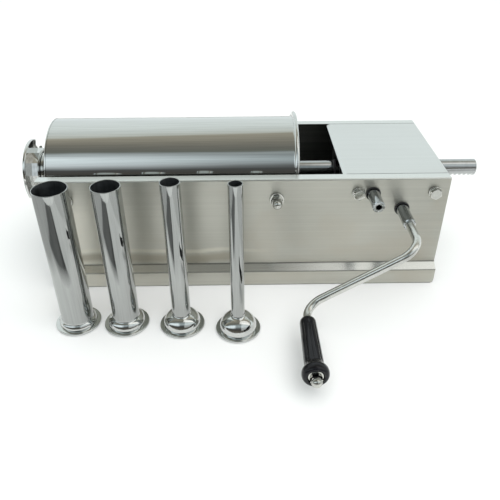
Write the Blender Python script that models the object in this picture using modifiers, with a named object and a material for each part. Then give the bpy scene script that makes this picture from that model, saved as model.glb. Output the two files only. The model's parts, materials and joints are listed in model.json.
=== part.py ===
"""Horizontal two-speed sausage stuffer: a bent sheet housing with a gearbox under a cover,
a meat cylinder lying in two cradles, a rack that drives the piston, a crank and four
filling tubes standing beside it.

Metres, +Z up. The origin is under the middle of the housing, on the table. The cylinder
and the rack lie along X, the outlet points to -X, and the crank is on the -Y side.
"""
import bmesh
import bpy
from math import acos, atan2, cos, pi, radians, sin, sqrt, tan
from mathutils import Matrix, Vector

# ---------------------------------------------------------------- driving dimensions
GAP = 0.0003                      # clearance between pieces that touch
SHEET = 0.0015                    # housing sheet
HOUSING_LENGTH = 0.504
HOUSING_WIDTH = 0.192
HOUSING_HEIGHT = 0.151
HALF_L, HALF_W = HOUSING_LENGTH / 2, HOUSING_WIDTH / 2
INSIDE = HALF_W - SHEET - GAP     # half the clear width between the panels
FLANGE = 0.0135                   # top edge turned inwards
LEDGE_TOP, LEDGE_OUT, SKIRT_TOP = 0.0288, 0.0106, 0.0221
BEND = 0.002                      # outside radius of the panels' bends
END_PLATE_T = 0.002
COVER_X = 0.1225                  # left edge of the gearbox cover
COVER_HEM, COVER_HEM_DROP = 0.0045, 0.0018

AXIS_Z = 0.1192                   # cylinder, piston and rack
BORE_R, CYLINDER_R = 0.070, 0.071
CYLINDER_X = (-0.2494, 0.0703)
BEAD_R, BEAD_CENTRE_R = 0.0030, 0.0743
CAP_T, CAP_ROUND = 0.002, 0.0015  # closed end of the cylinder
NECK_R, NECK_BORE_R, NECK_END_X = 0.027, 0.022, -0.278
NUT_X = (-0.287, -0.2705)
NUT_BODY_R, NUT_WING_R, NUT_WING_T = 0.032, 0.0435, 0.004
THREAD_GAP = 0.0005

RACK_R = 0.011
RACK_X = (-0.2386, 0.3184)
TEETH_X = (-0.196, 0.3155)        # toothed stretch of the rack
PISTON_X = -0.247                 # face of the piston, close to the closed end
PISTON_R = 0.0690

RACK_MODULE, GEAR_MODULE = 0.002, 0.0015
PRESSURE = radians(25)
ADDENDUM, DEDENDUM = 0.8, 1.1     # in modules, stub teeth
BACKLASH = 0.00025
CENTRE_EASE = 0.0001              # added to each centre distance
RACK_TEETH, MAIN_TEETH, SLOW_TEETH, FAST_TEETH = 12, 30, 12, 26
TIP_DROP = 0.0092                 # rack tooth tips below the rack's axis

SLOW_XZ = (0.1586, 0.1310)
FAST_Z = 0.1098
BOLT_XZ = ((0.1405, 0.1320), (0.2344, 0.1322))
STUD_XZ = ((-0.2190, 0.1245), (0.0405, 0.1245))
STUB_R, SHAFT_R, MAIN_SHAFT_R = 0.0074, 0.005, 0.006
STUB_LENGTHS = {"slow": 0.0345, "fast": 0.040}
SOCKET_R, SOCKET_DEPTH, PLUG_R, PLUG_LENGTH = 0.0040, 0.028, 0.0036, 0.0225
FLUTES, FLUTE_R, FLUTE_CENTRE_R = 6, 0.0013, 0.0075
GEAR_Y = (-0.056, -0.046)
PINION_Y = (-0.009, 0.009)
PLATE_X, PLATE_TOP, PLATE_LOW, BEARING_PLATE_LOW = (0.1270, 0.2450), 0.1440, 0.0650, 0.0850
PLATE_Y = {"front_bearing_plate": (-0.0942, -0.0892), "front_gear_plate": (-0.034, -0.029),
           "rear_gear_plate": (0.029, 0.034)}
STUB_BUSH_R, INNER_BUSH_R, MAIN_BUSH_R, BUSH_FLANGE_R = 0.0080, 0.0070, 0.0080, 0.0092
BOLT_R, BOLT_HOLE_R, STUD_R = 0.0039, 0.0045, 0.0039
RACK_BUSH_R, RACK_BUSH_LENGTH = 0.0127, 0.0028
BRACKET_X, BRACKET_HALF_W = 0.1232, 0.018

ARM_Y = -0.1885                   # plane the crank arm turns in
ROD_R, ROD_BENDS = 0.005, (0.024, 0.021)
GRIP_XZ = (0.0715, 0.0300)
GRIP_Y = (-0.2145, -0.3030)
GRIP_THREAD_R = 0.0039
TUBES = {"tube_38": (-0.2048, -0.1760, 0.0190, 0.1843), "tube_32": (-0.1450, -0.1790, 0.0160, 0.1881),
         "tube_22": (-0.0769, -0.1830, 0.0110, 0.1943), "tube_16": (-0.0088, -0.1920, 0.0080, 0.1964)}
TUBE_FLANGE_R, TUBE_SHOULDER_R, TUBE_WALL = 0.027, 0.0225, 0.001

# finishes: colour, roughness, metallic
STEEL = ((0.62, 0.61, 0.58), 0.35, 1.0)
POLISHED = ((0.78, 0.78, 0.77), 0.08, 1.0)
GREY_STEEL = ((0.38, 0.38, 0.38), 0.4, 1.0)
BRONZE = ((0.60, 0.42, 0.20), 0.4, 1.0)
BLACK = ((0.012, 0.012, 0.013), 0.25, 0.0)
SILICONE = ((0.85, 0.85, 0.82), 0.5, 0.0)

# ---------------------------------------------------------------- scene and helpers
for old in list(bpy.data.objects):
    bpy.data.objects.remove(old, do_unlink=True)
PARTS = bpy.data.collections.new("sausage_stuffer")
CUTTERS = bpy.data.collections.new("cutters")
for group in (PARTS, CUTTERS):
    bpy.context.scene.collection.children.link(group)

TO_X = Matrix.Rotation(-pi / 2, 4, "Y")      # +Z of a turned profile becomes -X
TO_Y = Matrix.Rotation(pi / 2, 4, "X")       # +Z of a turned profile becomes -Y


def material(name, finish):
    """A Principled material of its own for one sub-part."""
    mat = bpy.data.materials.new(name)
    mat.use_nodes = True
    shader = mat.node_tree.nodes["Principled BSDF"]
    colour, roughness, metallic = finish
    shader.inputs["Base Color"].default_value = (*colour, 1)
    shader.inputs["Roughness"].default_value = roughness
    shader.inputs["Metallic"].default_value = metallic
    return mat


def add(name, mesh, finish=None, matrix=Matrix(), smooth=True):
    """Link a mesh as a named part, or as a cutter when it has no finish."""
    obj = bpy.data.objects.new(name, mesh)
    obj.matrix_world = matrix
    if finish is None:
        CUTTERS.objects.link(obj)
        obj.hide_render = True
        obj.display_type = "WIRE"
        return obj
    PARTS.objects.link(obj)
    mesh.materials.append(material(name, finish))
    if smooth:
        mesh.shade_smooth()
        mesh.set_sharp_from_angle(angle=radians(35))
    return obj


def mesh_of(name, build):
    """A mesh filled by build(bm)."""
    bm = bmesh.new()
    build(bm)
    mesh = bpy.data.meshes.new(name)
    bm.to_mesh(mesh)
    bm.free()
    return mesh


def box(name, x, y, z, finish=None):
    """A box between two X, two Y and two Z values."""
    size = Vector((x[1] - x[0], y[1] - y[0], z[1] - z[0]))
    centre = Vector((x[0] + x[1], y[0] + y[1], z[0] + z[1])) / 2
    scale = Matrix.Diagonal(size).to_4x4()
    mesh = mesh_of(name, lambda bm: bmesh.ops.create_cube(bm, size=1, matrix=scale))
    return add(name, mesh, finish, Matrix.Translation(centre), smooth=False)


def rod(name, axis, start, length, radius, finish=None, sides=32, turn=0.0):
    """A cylinder or prism from a start point along +X, +Y or +Z."""
    about = {"X": Matrix.Rotation(pi / 2, 4, "Y"), "Y": Matrix.Rotation(-pi / 2, 4, "X"), "Z": Matrix()}[axis]
    mesh = mesh_of(name, lambda bm: bmesh.ops.create_cone(
        bm, cap_ends=True, segments=sides, radius1=radius, radius2=radius, depth=length,
        matrix=Matrix.Translation((0, 0, length / 2)) @ Matrix.Rotation(turn, 4, "Z")))
    return add(name, mesh, finish, Matrix.Translation(start) @ about)


def turned(name, profile, place, finish=None, steps=48, closed=True):
    """A profile of (radius, height) points turned about Z, outer side from top to bottom."""
    def build(bm):
        verts = [bm.verts.new((r, 0, h)) for r, h in profile]
        pairs = list(zip(verts, verts[1:])) + ([(verts[-1], verts[0])] if closed else [])
        for a, b in pairs:
            bm.edges.new((a, b))
    obj = add(name, mesh_of(name, build), finish, place, smooth=False)
    screw = obj.modifiers.new("turn", "SCREW")
    screw.steps = screw.render_steps = steps
    screw.use_merge_vertices = True
    screw.merge_threshold = 0.00001
    screw.use_smooth_shade = False
    return obj


def solid_of_curve(name, curve, finish, matrix):
    """A closed mesh made of a curve, with its caps welded."""
    guide = bpy.data.objects.new(name + "_curve", curve)
    guide.matrix_world = matrix
    CUTTERS.objects.link(guide)
    bpy.context.view_layer.update()
    seen = guide.evaluated_get(bpy.context.evaluated_depsgraph_get())
    mesh = bpy.data.meshes.new_from_object(seen)
    bm = bmesh.new()
    bm.from_mesh(mesh)
    bmesh.ops.remove_doubles(bm, verts=bm.verts, dist=0.000001)
    bmesh.ops.recalc_face_normals(bm, faces=bm.faces)
    bm.to_mesh(mesh)
    bm.free()
    obj = add(name, mesh, finish, guide.matrix_world.copy())
    bpy.data.objects.remove(guide, do_unlink=True)
    return obj


def extruded(name, outlines, depth, matrix, finish=None):
    """Flat closed outlines extruded both ways by half the depth; inner ones are holes."""
    curve = bpy.data.curves.new(name, "CURVE")
    curve.dimensions = "2D"
    curve.fill_mode = "BOTH"
    curve.extrude = depth / 2
    for outline in outlines:
        spline = curve.splines.new("POLY")
        spline.points.add(len(outline) - 1)
        spline.use_cyclic_u = True
        for point, (u, v) in zip(spline.points, outline):
            point.co = (u, v, 0, 1)
    return solid_of_curve(name, curve, finish, matrix)


def across_y(y):
    """Outline (u, v) to world (X, Z), centred between two Y values."""
    return Matrix.Translation((0, (y[0] + y[1]) / 2, 0)) @ Matrix.Rotation(pi / 2, 4, "X")


def across_x(x):
    """Outline (u, v) to world (Y, Z), centred between two X values."""
    turn = Matrix(((0, 0, 1, 0), (1, 0, 0, 0), (0, 1, 0, 0), (0, 0, 0, 1)))
    return Matrix.Translation(((x[0] + x[1]) / 2, 0, 0)) @ turn


def cut(obj, cutter, operation="DIFFERENCE"):
    """Add an exact Boolean with a cutter."""
    mod = obj.modifiers.new(cutter.name, "BOOLEAN")
    mod.operation = operation
    mod.object = cutter


def circle(radius, sides):
    """Points round the origin."""
    return [(radius * cos(2 * pi * i / sides), radius * sin(2 * pi * i / sides)) for i in range(sides)]


def rounded(points, radii, steps=3):
    """An open path whose inner corners are arcs, one radius for each corner."""
    path = [Vector(points[0])]
    for before, corner, after, radius in zip(points, points[1:], points[2:], radii):
        corner = Vector(corner)
        a, b = (Vector(before) - corner).normalized(), (Vector(after) - corner).normalized()
        half = acos(max(-1, min(1, a.dot(b)))) / 2
        reach = radius / tan(half)
        centre = corner + (a + b).normalized() * (radius / sin(half))
        start, end = corner + a * reach - centre, corner + b * reach - centre
        for i in range(steps + 1):
            path.append(centre + start.slerp(end, i / steps).normalized() * radius)
    return path + [Vector(points[-1])]


def sheet_outline(points, thickness, radius, side):
    """The closed section of a bent sheet: an outer path and the same path moved inwards."""
    outer = rounded([Vector((*p, 0)) for p in points], [radius] * len(points))
    normals = []
    for here, there in zip(outer, outer[1:]):
        along = (there - here).normalized()
        normals.append(Vector((-along.y, along.x, 0)) * side)
    inner = []
    for point, before, after in zip(outer, normals[:1] + normals, normals + normals[-1:]):
        bisector = (before + after).normalized()
        inner.append(point + bisector * (thickness / bisector.dot(after)))
    return [(p.x, p.y) for p in outer + inner[::-1]]


# ---------------------------------------------------------------- housing
def make_housing():
    base_half = HALF_W + LEDGE_OUT - SHEET - GAP
    box("base_plate", (-HALF_L, HALF_L), (-base_half, base_half), (0, SHEET), STEEL)
    side = [(HALF_W + LEDGE_OUT, 0), (HALF_W + LEDGE_OUT, SKIRT_TOP), (HALF_W, LEDGE_TOP),
            (HALF_W, HOUSING_HEIGHT), (HALF_W - FLANGE, HOUSING_HEIGHT)]
    for name, sign in (("front_panel", -1), ("rear_panel", 1)):
        outline = sheet_outline([(sign * y, z) for y, z in side], SHEET, BEND, sign)
        panel = extruded(name, [outline], HOUSING_LENGTH, across_x((-HALF_L, HALF_L)), STEEL)
        holes = [(xz, BOLT_HOLE_R) for xz in BOLT_XZ + STUD_XZ]
        if sign < 0:
            holes += [(SLOW_XZ, STUB_BUSH_R + GAP), (fast_centre(), STUB_BUSH_R + GAP)]
        for i, ((x, z), radius) in enumerate(holes):
            start = (x, sign * HALF_W - 0.006, z)
            cut(panel, rod(f"{name}_hole_{i}", "Y", start, 0.012, radius, sides=20))

    low = SHEET + GAP
    left_x = (-HALF_L + GAP, -HALF_L + GAP + END_PLATE_T)
    left = box("left_end_plate", left_x, (-INSIDE, INSIDE), (low, AXIS_Z), STEEL)
    cut(left, rod("neck_notch", "X", (left_x[0] - 0.001, 0, AXIS_Z), 0.004, NECK_R + THREAD_GAP))
    right_x = (HALF_L - GAP - END_PLATE_T, HALF_L - GAP)
    right = box("right_end_plate", right_x, (-INSIDE, INSIDE), (low, HOUSING_HEIGHT - SHEET - GAP), STEEL)
    cut(right, rod("rack_hole", "X", (right_x[0] - 0.001, 0, AXIS_Z), 0.004, RACK_BUSH_R + GAP))

    lid = [(HALF_L, HOUSING_HEIGHT), (COVER_X + COVER_HEM, HOUSING_HEIGHT),
           (COVER_X, HOUSING_HEIGHT - COVER_HEM_DROP)]
    half_cover = HALF_W - FLANGE - GAP
    extruded("gearbox_cover", [sheet_outline(lid, SHEET, BEND, 1)], 2 * half_cover,
             across_y((-half_cover, half_cover)), STEEL)


def make_cradles():
    """Two sheet saddles under the cylinder, each with a welded stud through either panel."""
    half_t, half_ear, ear_t = 0.002, 0.010, 0.003
    slot_r = CYLINDER_R + GAP
    for name, (x, z) in zip(("left_cradle", "right_cradle"), STUD_XZ):
        top = z + half_ear
        saddle = box(name, (x - half_t, x + half_t), (-INSIDE, INSIDE), (SHEET + GAP, top), STEEL)
        slot = (x - half_t - 0.001, x + half_t + 0.001)
        cut(saddle, rod(name + "_round", "X", (slot[0], 0, AXIS_Z), slot[1] - slot[0], slot_r, sides=64))
        cut(saddle, box(name + "_mouth", slot, (-slot_r, slot_r), (AXIS_Z, top + 0.05)))
        for sign, side in ((-1, "front"), (1, "rear")):
            ear_x, ear_z = (x - half_ear, x + half_ear), (z - 0.012, top - 0.0001)
            ear_y = sorted((sign * INSIDE, sign * (INSIDE - ear_t)))
            cut(saddle, box(f"{name}_{side}_ear", ear_x, ear_y, ear_z), "UNION")
            stud_y = sorted((sign * (INSIDE - ear_t / 2), sign * (INSIDE + 0.014)))
            stud = rod(f"{name}_{side}_stud", "Y", (x, stud_y[0], z), stud_y[1] - stud_y[0], STUD_R, sides=16)
            cut(saddle, stud, "UNION")
            make_acorn_nut(f"{name}_{side}_nut", x, sign, z)


def on_panel(x, sign, z):
    """Placement with +Z pointing out of the front (-1) or the rear (1) panel."""
    return Matrix.Translation((x, sign * (HALF_W + GAP), z)) @ (TO_Y if sign < 0 else TO_Y.inverted())


def make_acorn_nut(name, x, sign, z):
    """A domed nut on its washer, against the outside of a panel."""
    washer_r, washer_t, hex_r, hex_top = 0.0092, 0.0022, 0.0076, 0.0088
    dome_r, height, bore_r, bore_depth = 0.0060, 0.0196, BOLT_HOLE_R - GAP, 0.0160
    crown = [(dome_r * sin(a), height - dome_r + dome_r * cos(a))
             for a in (radians(d) for d in (0, 25, 50, 75, 90))]
    base = [(dome_r, washer_t), (washer_r, washer_t), (washer_r, 0), (bore_r, 0), (bore_r, bore_depth),
            (0, bore_depth)]
    place = on_panel(x, sign, z)
    nut = turned(name, crown + base, place, POLISHED, steps=16, closed=False)
    ring = [(hex_r, hex_top), (hex_r, washer_t - 0.0005), (0.0050, washer_t - 0.0005), (0.0050, hex_top)]
    cut(nut, turned(name + "_ring", ring, place, steps=6), "UNION")


# ---------------------------------------------------------------- gearbox
def gear_outline(teeth, module, first):
    """Involute teeth as a closed outline; the first tooth is centred at an angle."""
    pitch, base = teeth * module / 2, teeth * module / 2 * cos(PRESSURE)
    tip, root = pitch + ADDENDUM * module, pitch - DEDENDUM * module

    def involute(r):
        angle = acos(min(1, base / r))
        return tan(angle) - angle

    half = pi / (2 * teeth) - BACKLASH / (2 * pitch) + involute(pitch)
    foot = max(base, root)
    radii = [foot, (foot + tip) / 2, tip]
    flank = [(root, half)] * (root < base - 0.0001) + [(r, half - involute(r)) for r in radii]
    if root > base:
        flank[0] = (root, half - involute(root))
    points = []
    for i in range(teeth):
        centre = first + 2 * pi * i / teeth
        points += [(r * cos(centre - a), r * sin(centre - a)) for r, a in flank]
        points += [(r * cos(centre + a), r * sin(centre + a)) for r, a in flank[::-1]]
    return points


def main_centre():
    """Centre of the main shaft: under the rack, in mesh with the slow gear."""
    pitch_z = AXIS_Z - TIP_DROP + ADDENDUM * RACK_MODULE
    z = pitch_z - RACK_TEETH * RACK_MODULE / 2 - CENTRE_EASE
    reach = (MAIN_TEETH + SLOW_TEETH) * GEAR_MODULE / 2 + CENTRE_EASE
    return SLOW_XZ[0] - sqrt(reach ** 2 - (SLOW_XZ[1] - z) ** 2), z


def fast_centre():
    """Centre of the fast shaft, at its height and at its gear's distance from the main shaft."""
    x, z = main_centre()
    reach = (MAIN_TEETH + FAST_TEETH) * GEAR_MODULE / 2 + CENTRE_EASE
    return x + sqrt(reach ** 2 - (FAST_Z - z) ** 2), FAST_Z


def gear(name, teeth, module, centre, y, bore, first):
    place = Matrix.Translation((centre[0], 0, centre[1])) @ across_y(y)
    extruded(name, [gear_outline(teeth, module, first), circle(bore, 24)], y[1] - y[0], place, GREY_STEEL)


def make_gears(main, fast):
    """Gears are turned so that a tooth of one faces a gap of the other at rest."""
    slow_line = atan2(SLOW_XZ[1] - main[1], SLOW_XZ[0] - main[0])
    fast_line = atan2(fast[1] - main[1], fast[0] - main[0])
    offset = (slow_line - fast_line) % (2 * pi / MAIN_TEETH)
    gear("main_gear", MAIN_TEETH, GEAR_MODULE, main, GEAR_Y, MAIN_SHAFT_R + GAP, slow_line)
    gear("slow_gear", SLOW_TEETH, GEAR_MODULE, SLOW_XZ, GEAR_Y, SHAFT_R + GAP,
         slow_line + pi + pi / SLOW_TEETH)
    gear("fast_gear", FAST_TEETH, GEAR_MODULE, fast, GEAR_Y, SHAFT_R + GAP,
         fast_line + pi + pi / FAST_TEETH - offset * MAIN_TEETH / FAST_TEETH)
    gear("rack_pinion", RACK_TEETH, RACK_MODULE, main, PINION_Y, MAIN_SHAFT_R + GAP, pi / 2)


def make_shafts(main, fast):
    """The main shaft, and two stub shafts that carry a fluted end with a hexagon socket."""
    rod("main_shaft", "Y", (main[0], -0.060, main[1]), 0.101, MAIN_SHAFT_R, GREY_STEEL, sides=24)
    step_y, inner_y, chamfer, margin = -0.0870, -0.0280, 0.0008, 0.001
    for name, (x, z) in (("slow", SLOW_XZ), ("fast", fast)):
        end = HALF_W + STUB_LENGTHS[name]
        profile = [(0, end), (STUB_R - chamfer, end), (STUB_R, end - chamfer), (STUB_R, -step_y),
                   (SHAFT_R, -step_y), (SHAFT_R, -inner_y), (0, -inner_y)]
        shaft = turned(name + "_shaft", profile, Matrix.Translation((x, 0, z)) @ TO_Y, GREY_STEEL, 32, False)
        cut(shaft, rod(name + "_socket", "Y", (x, -end - margin, z), SOCKET_DEPTH + margin, SOCKET_R,
                       sides=6, turn=pi / 6))
        for i in range(FLUTES):
            angle = pi / 2 + 2 * pi * i / FLUTES
            start = (x + FLUTE_CENTRE_R * cos(angle), -end - margin, z + FLUTE_CENTRE_R * sin(angle))
            flute_length = STUB_LENGTHS[name] - 0.003
            cut(shaft, rod(f"{name}_flute_{i}", "Y", start, flute_length, FLUTE_R, sides=8, turn=pi / 8))


def make_gear_plates(main, fast):
    """Three steel plates between the panels, with their bolts and spacers."""
    stub_hole, inner_hole, main_hole = STUB_BUSH_R + GAP, INNER_BUSH_R + GAP, MAIN_BUSH_R + GAP
    holes = {"front_bearing_plate": ((SLOW_XZ, stub_hole), (fast, stub_hole)),
             "front_gear_plate": ((SLOW_XZ, inner_hole), (fast, inner_hole), (main, main_hole)),
             "rear_gear_plate": ((main, main_hole),)}
    for name, y in PLATE_Y.items():
        bottom = BEARING_PLATE_LOW if name == "front_bearing_plate" else PLATE_LOW
        plate = box(name, PLATE_X, y, (bottom, PLATE_TOP), GREY_STEEL)
        for i, ((x, z), radius) in enumerate(holes[name] + tuple((xz, BOLT_HOLE_R) for xz in BOLT_XZ)):
            start = (x, y[0] - 0.001, z)
            cut(plate, rod(f"{name}_hole_{i}", "Y", start, y[1] - y[0] + 0.002, radius, sides=20))
    spans = {"front": (PLATE_Y["front_bearing_plate"][1] + GAP, PLATE_Y["front_gear_plate"][0] - GAP),
             "rear": (PLATE_Y["rear_gear_plate"][1] + GAP, INSIDE)}
    for i, (x, z) in enumerate(BOLT_XZ, 1):
        for side, (a, b) in spans.items():
            bush(f"{side}_spacer_{i}", (x, z), (a, b), 0.0065, BOLT_HOLE_R, GREY_STEEL, steps=20)
            make_hex_bolt(f"{side}_bolt_{i}", x, -1 if side == "front" else 1, z)


def make_hex_bolt(name, x, sign, z):
    """A hexagon bolt on its washer, against a panel, with its shank into a gear plate."""
    washer_r, washer_t, hex_r, top, chamfer, shank = 0.0080, 0.0016, 0.0075, 0.0069, 0.0007, 0.0710
    core_r, corner_up = 0.0055, radians(38)
    place = on_panel(x, sign, z)
    profile = [(0, top - 0.0003), (core_r, top - 0.0003), (core_r, washer_t), (washer_r, washer_t),
               (washer_r, 0), (BOLT_R, 0), (BOLT_R, -shank), (0, -shank)]
    bolt = turned(name, profile, place, POLISHED, steps=18, closed=False)
    head = [(0, top), (hex_r - chamfer, top), (hex_r, top - chamfer), (hex_r, washer_t - 0.0004),
            (0, washer_t - 0.0004)]
    hexagon = turned(name + "_hex", head, place @ Matrix.Rotation(corner_up, 4, "Z"), steps=6, closed=False)
    cut(bolt, hexagon, "UNION")


def bush(name, centre, y, outer, bore, finish, flange=0.0, flange_t=0.002, steps=24):
    """A sleeve along Y, with a flange at its -Y end when one is given."""
    length = y[1] - y[0]
    profile = [(outer, 0), (outer, -length), (bore, -length), (bore, 0)]
    if flange:
        profile = [(flange, flange_t), (flange, GAP), (outer, GAP), (outer, -length), (bore, -length),
                   (bore, flange_t)]
    turned(name, profile, Matrix.Translation((centre[0], y[0], centre[1])) @ TO_Y, finish, steps)


def make_bearings(main, fast):
    """Bushes of the stub shafts and the main shaft, and the two guides of the rack."""
    front, plate, rear = PLATE_Y.values()
    for name, centre in (("slow", SLOW_XZ), ("fast", fast)):
        bush(name + "_shaft_bush", centre, (-HALF_W, front[1]), STUB_BUSH_R, STUB_R + GAP, BLACK,
             BUSH_FLANGE_R, steps=28)
        bush(name + "_inner_bush", centre, plate, INNER_BUSH_R, SHAFT_R + GAP, BRONZE)
    bush("main_front_bush", main, plate, MAIN_BUSH_R, MAIN_SHAFT_R + GAP, BRONZE)
    bush("main_rear_bush", main, rear, MAIN_BUSH_R, MAIN_SHAFT_R + GAP, BRONZE)
    post_x = (BRACKET_X, BRACKET_X + SHEET)
    post = box("rack_guide_bracket", post_x, (-BRACKET_HALF_W, BRACKET_HALF_W), (SHEET + GAP, AXIS_Z), BLACK)
    cut(post, rod("guide_notch", "X", (post_x[0] - 0.001, 0, AXIS_Z), 0.004, RACK_BUSH_R + GAP))
    for name, middle in (("rack_guide_bush", BRACKET_X + SHEET / 2),
                         ("end_guide_bush", HALF_L - GAP - END_PLATE_T / 2)):
        half = RACK_BUSH_LENGTH / 2
        ring = [(RACK_BUSH_R, half), (RACK_BUSH_R, -half), (RACK_R + GAP, -half), (RACK_R + GAP, half)]
        turned(name, ring, Matrix.Translation((middle, 0, AXIS_Z)) @ TO_X, BLACK, 24)


# ---------------------------------------------------------------- rack and piston
def make_rack(main):
    rack = rod("rack", "X", (RACK_X[0], 0, AXIS_Z), RACK_X[1] - RACK_X[0], RACK_R, GREY_STEEL, sides=20,
               turn=radians(9))
    pitch = pi * RACK_MODULE
    tip_z = AXIS_Z - TIP_DROP
    pitch_z, root_z = tip_z + ADDENDUM * RACK_MODULE, tip_z + (ADDENDUM + DEDENDUM) * RACK_MODULE

    def half_gap(z):
        return pitch / 4 + BACKLASH / 2 - (z - pitch_z) * tan(PRESSURE)

    first = -int((main[0] - TEETH_X[0]) / pitch)
    last = int((TEETH_X[1] - main[0]) / pitch)
    outline = []
    for i in range(first, last + 1):
        x = main[0] + i * pitch
        outline += [(x - half_gap(tip_z), tip_z), (x - half_gap(root_z), root_z),
                    (x + half_gap(root_z), root_z), (x + half_gap(tip_z), tip_z)]
    low = AXIS_Z - 2 * RACK_R
    outline += [(outline[-1][0], low), (outline[0][0], low)]
    cut(rack, extruded("rack_teeth", [outline], 3 * RACK_R, across_y((-RACK_R, RACK_R))))


def make_piston():
    """Two steel discs with a silicone seal between them, held on the rack's end by a nut."""
    bore = RACK_R + 0.0004
    round_off = 0.0015

    def disc(name, start, length, radius, finish):
        profile = [(radius, length), (radius, 0), (bore, 0), (bore, length)]
        turned(name, profile, Matrix.Translation((start + length, 0, AXIS_Z)) @ TO_X, finish, 48)

    face_t, seal_t, back_t = 0.0080, 0.0082, 0.0040
    face = [(0, face_t), (PISTON_R - round_off, face_t), (PISTON_R, face_t - round_off), (PISTON_R, 0),
            (0, 0)]
    face_place = Matrix.Translation((PISTON_X + face_t, 0, AXIS_Z)) @ TO_X
    turned("piston_disc", face, face_place, POLISHED, 48, False)
    seal_x = PISTON_X + face_t + GAP
    back_x = seal_x + seal_t + GAP
    nut_x = back_x + back_t + GAP
    disc("piston_seal", seal_x, seal_t, PISTON_R + 0.0006, SILICONE)
    disc("piston_back_plate", back_x, back_t, PISTON_R - 0.0005, POLISHED)
    nut = rod("piston_nut", "X", (nut_x, 0, AXIS_Z), 0.0100, 0.0180, POLISHED, sides=6)
    cut(nut, rod("piston_nut_bore", "X", (nut_x - 0.001, 0, AXIS_Z), 0.0120, bore))


# ---------------------------------------------------------------- cylinder and outlet
def make_cylinder():
    """The tube with a rolled bead at its mouth, its closed end and the outlet neck."""
    place = Matrix.Translation((0, 0, AXIS_Z)) @ TO_X
    left, right = CYLINDER_X
    bead_z = BEAD_R - right                      # heights along the turned profiles grow towards -X
    wall = [(CYLINDER_R, -left - CAP_T - GAP), (CYLINDER_R, bead_z + BEAD_R)]
    bead = [(BEAD_CENTRE_R + BEAD_R * cos(a), bead_z + BEAD_R * sin(a))
            for a in (radians(d) for d in (150, 110, 70, 30, -10, -50, -90))]
    inside = [(BORE_R, -right), (BORE_R, -left - CAP_T - GAP)]
    turned("cylinder", wall + bead + inside, place, POLISHED, 56)

    cap = [(CYLINDER_R - CAP_ROUND, -left), (CYLINDER_R - CAP_ROUND * 0.3, -left - CAP_ROUND * 0.3),
           (CYLINDER_R, -left - CAP_ROUND), (CYLINDER_R, -left - CAP_T), (NECK_BORE_R, -left - CAP_T),
           (NECK_BORE_R, -left)]
    turned("cylinder_end_cap", cap, place, POLISHED, 56)
    neck = [(NECK_R, -NECK_END_X), (NECK_R, -left + GAP), (NECK_BORE_R, -left + GAP),
            (NECK_BORE_R, -NECK_END_X)]
    turned("outlet_neck", neck, place, POLISHED, 40)


def make_ring_nut():
    """A twelve-sided nut with two crescent wings that screws onto the neck, and its gasket."""
    place = Matrix.Translation((0, 0, AXIS_Z)) @ TO_X
    front, back = -NUT_X[0], -NUT_X[1]
    wing = front - NUT_WING_T
    edge, sleeve_r, seat = 0.0008, NUT_BODY_R - 0.0020, 0.0010
    profile = [(NUT_WING_R - edge, front), (NUT_WING_R, front - edge), (NUT_WING_R, wing + edge),
               (NUT_WING_R - edge, wing), (sleeve_r, wing), (sleeve_r, back + 0.0002),
               (NECK_R + THREAD_GAP, back + 0.0002), (NECK_R + THREAD_GAP, wing - seat),
               (NECK_BORE_R + THREAD_GAP, wing - seat), (NECK_BORE_R + THREAD_GAP, front)]
    nut = turned("ring_nut", profile, place, POLISHED, 48)
    body = [(NUT_BODY_R, wing + seat), (NUT_BODY_R, back + 0.001), (NUT_BODY_R - 0.001, back),
            (sleeve_r - 0.001, back), (sleeve_r - 0.001, wing + seat)]
    cut(nut, turned("nut_facets", body, place, steps=12), "UNION")
    gap_r, gap_width, gap_depth = 0.046, 0.024, 0.025
    for i, angle in enumerate((radians(135), radians(315))):
        y, z = -cos(angle) * gap_r, sin(angle) * gap_r
        width, depth = (-gap_width / 2, gap_width / 2), (-gap_depth / 2, gap_depth / 2)
        gap = box(f"wing_gap_{i}", (-0.007, 0.0069), width, depth)
        centre = Matrix.Translation((NUT_X[0] - 0.002, y, AXIS_Z + z))
        gap.matrix_world = centre @ Matrix.Rotation(atan2(-y, z), 4, "X")
        cut(nut, gap)
    neck_end, seal_t = -NECK_END_X + GAP, 0.0027
    seal = [(NECK_R - 0.0002, neck_end + seal_t), (NECK_R - 0.0002, neck_end),
            (NECK_BORE_R + 0.0006, neck_end), (NECK_BORE_R + 0.0006, neck_end + seal_t)]
    turned("outlet_gasket", seal, place, SILICONE, 32)


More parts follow.
